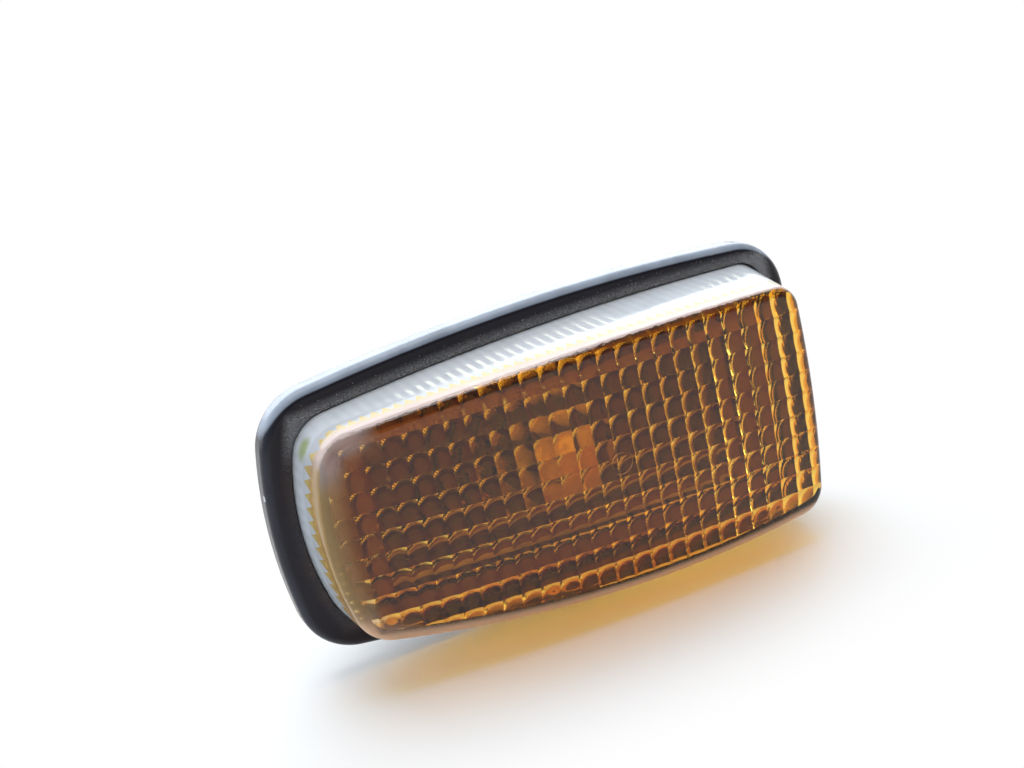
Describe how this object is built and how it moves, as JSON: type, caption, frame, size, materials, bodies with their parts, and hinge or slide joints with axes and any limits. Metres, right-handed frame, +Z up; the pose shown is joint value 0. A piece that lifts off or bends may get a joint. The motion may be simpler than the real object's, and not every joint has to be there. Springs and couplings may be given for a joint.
{
  "type": "side repeater lamp",
  "caption": "Amber turn-signal repeater for a car wing: ribbed and pillowed lens on a black flanged base that clips into a panel opening.",
  "frame": {"origin": "on the skin of the panel, behind the gasket, in the middle of the panel opening", "axes": "+X along the lamp towards its taller end, +Y into the panel, +Z up; the lens looks along -Y"},
  "size_m": [0.0752, 0.0442, 0.0393],
  "materials": {
    "lens": "clear amber, lightly scratched",
    "base": "black, semi-gloss, dusty",
    "gasket": "black rubber",
    "holder": "dark grey",
    "seal": "black rubber",
    "terminal": "tinned brass, dulled",
    "bulb": "clear glass",
    "filament": "tungsten",
    "lead": "nickel wire"
  },
  "bodies": {
    "root": {"lens": "lens", "base_housing": "base", "panel_gasket": "gasket", "bulb_holder": "holder", "holder_seal": "seal", "terminal_live": "terminal", "terminal_earth": "terminal", "bulb_glass": "bulb", "bulb_filament": "filament", "bulb_lead_live": "lead", "bulb_lead_earth": "lead"}
  },
  "joints": []
}
